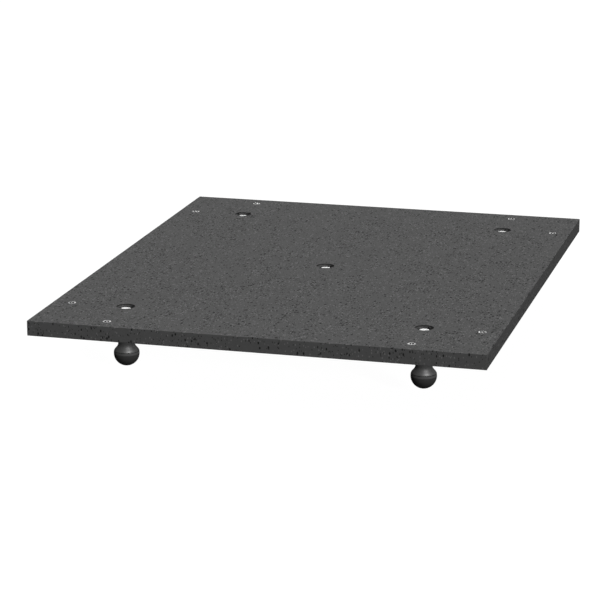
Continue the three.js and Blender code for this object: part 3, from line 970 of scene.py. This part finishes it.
def make_camera():
    """A long lens, held level."""
    back = camera_back()
    right = Vector((-back.y, back.x, 0)).normalized()
    up = back.cross(right)
    data = bpy.data.cameras.new("camera")
    data.sensor_width = 36
    data.lens = CAMERA_LENS
    data.clip_start, data.clip_end = 0.05, 100
    camera = bpy.data.objects.new("camera", data)
    bpy.context.scene.collection.objects.link(camera)
    top = Vector((0, 0, DECK_TOP * MM))
    spot = top + back * CAMERA_DISTANCE - right * CAMERA_SHIFT_LEFT - up * CAMERA_SHIFT_DOWN
    camera.matrix_world = Matrix.Translation(spot) @ Matrix((right, up, back)).transposed().to_4x4()
    bpy.context.scene.camera = camera


def make_floor():
    """A white floor without an edge to be seen, which throws no light back up at the platform.

    It lies just under the feet's lowest travel, so that a lowered foot doesn't sink into it.
    """
    bm = bmesh.new()
    bmesh.ops.create_grid(bm, x_segments=8, y_segments=8, size=30)
    floor = piece("studio_floor", bm, (0, 0, FLOOR_LEVEL * MM))
    nodes = Nodes(bpy.data.materials.new("white_floor"))
    paint = nodes.add("ShaderNodeBsdfDiffuse", {"Color": (0.08, 0.08, 0.08, 1)})
    glow = nodes.add("ShaderNodeEmission", {"Color": (1, 1, 1, 1), "Strength": FLOOR_GLOW})
    both = nodes.add("ShaderNodeAddShader", {0: paint.outputs[0], 1: glow.outputs[0]})
    nodes.add("ShaderNodeOutputMaterial", {"Surface": both.outputs[0]})
    floor.data.materials.append(nodes.owner)
    floor.visible_diffuse = False
    floor.visible_glossy = False
    floor.visible_shadow = False


def make_sky():
    """An even dim surround with a tall bright screen behind the platform.

    The camera itself sees only white.
    """
    world = bpy.data.worlds.new("studio")
    bpy.context.scene.world = world
    nodes = Nodes(world)
    direction = nodes.add("ShaderNodeTexCoord").outputs["Generated"]
    height = nodes.add("ShaderNodeSeparateXYZ", {0: direction}).outputs["Z"]
    behind = -camera_back()
    behind.z = 0
    facing = nodes.add(
        "ShaderNodeVectorMath",
        {0: direction, 1: behind.normalized()},
        operation="DOT_PRODUCT",
    )
    # The screen's soft edges, in parts of a unit direction
    sides = nodes.spread(facing.outputs["Value"], 0.7, 0.9, 0, 1, smooth=True)
    foot = nodes.spread(height, -0.05, 0.1, 0, 1, smooth=True)
    head = nodes.spread(height, 0.55, 0.8, 1, 0, smooth=True)
    screen = nodes.math("MULTIPLY", nodes.math("MULTIPLY", sides, foot), head)
    surround = nodes.spread(height, -0.3, 0.2, SURROUND_BELOW, SURROUND_ABOVE, smooth=True)
    level = nodes.math("MULTIPLY_ADD", screen, SCREEN, surround)
    seen = nodes.add("ShaderNodeLightPath").outputs["Is Camera Ray"]
    level = nodes.add("ShaderNodeMix", {"Factor": seen, "A": level, "B": 1.0}).outputs["Result"]
    light = nodes.add("ShaderNodeBackground", {"Color": (1, 1, 1, 1), "Strength": level})
    nodes.add("ShaderNodeOutputWorld", {"Surface": light.outputs[0]})


def make_lamp(name, azimuth, elevation, strength, softness, lit=(), glossy=True):
    """A distant lamp.

    Its direction and softness are in degrees, with the azimuth from +X. strength is what a facing
    surface gets, where an even surround of 1 would give 1. If lit is given, the lamp lights only the
    pieces whose names start with one of its words, and only they can shade one another from it.
    Without glossy it leaves no highlights.
    """
    azimuth, elevation = math.radians(azimuth), math.radians(elevation)
    flat = math.cos(elevation)
    towards = Vector((math.cos(azimuth) * flat, math.sin(azimuth) * flat, math.sin(elevation)))
    data = bpy.data.lights.new(name, "SUN")
    data.energy = strength * math.pi
    data.angle = math.radians(softness)
    lamp = bpy.data.objects.new(name, data)
    lamp.rotation_euler = towards.to_track_quat("Z", "Y").to_euler()
    bpy.context.scene.collection.objects.link(lamp)
    lamp.visible_glossy = glossy
    if not lit:
        return
    chosen = bpy.data.collections.new(f"lit_by_{name}")
    for made in bpy.context.scene.objects:
        if made.name.startswith(lit):
            chosen.objects.link(made)
    lamp.light_linking.receiver_collection = chosen
    lamp.light_linking.blocker_collection = chosen


bpy.context.scene.view_settings.view_transform = "Standard"
make_camera()
make_floor()
make_sky()

make_board()
for name in FEET:
    make_foot(name)
    make_socket(name)
    make_spindle(name)
    make_ring(name)
    make_bush(name)
for name in CORNERS:
    make_plate(name)
for name in SCREW_PLACES:
    make_deck_screw(name)
    make_clinch_nut(name)
for node in BUSH_SCREWS:
    make_wood_screw(node)

# The feet and the bright steel have lamps of their own, because they glint more than the board does
feet, spindles, screws = "rubber_foot", "threaded_spindle", "countersunk_screw"
make_lamp("overhead", FRONT_RIGHT, elevation=85, strength=0.615, softness=12)
make_lamp("low_front", FRONT_RIGHT, elevation=14, strength=0.66, softness=8, glossy=False)
make_lamp("back_fill", BACK_LEFT, elevation=18, strength=0.3, softness=30, glossy=False)
make_lamp("foot_light", FRONT_RIGHT, elevation=48, strength=1.05, softness=10, lit=(feet,))
make_lamp("spindle_glint", BACK, elevation=48, strength=0.37, softness=16, lit=(spindles,))
make_lamp("screw_glint", BACK, elevation=20, strength=0.031, softness=16, lit=(screws,))
make_lamp("rear_glint", FRONT_RIGHT, elevation=20, strength=0.03, softness=16, lit=(spindles, screws))
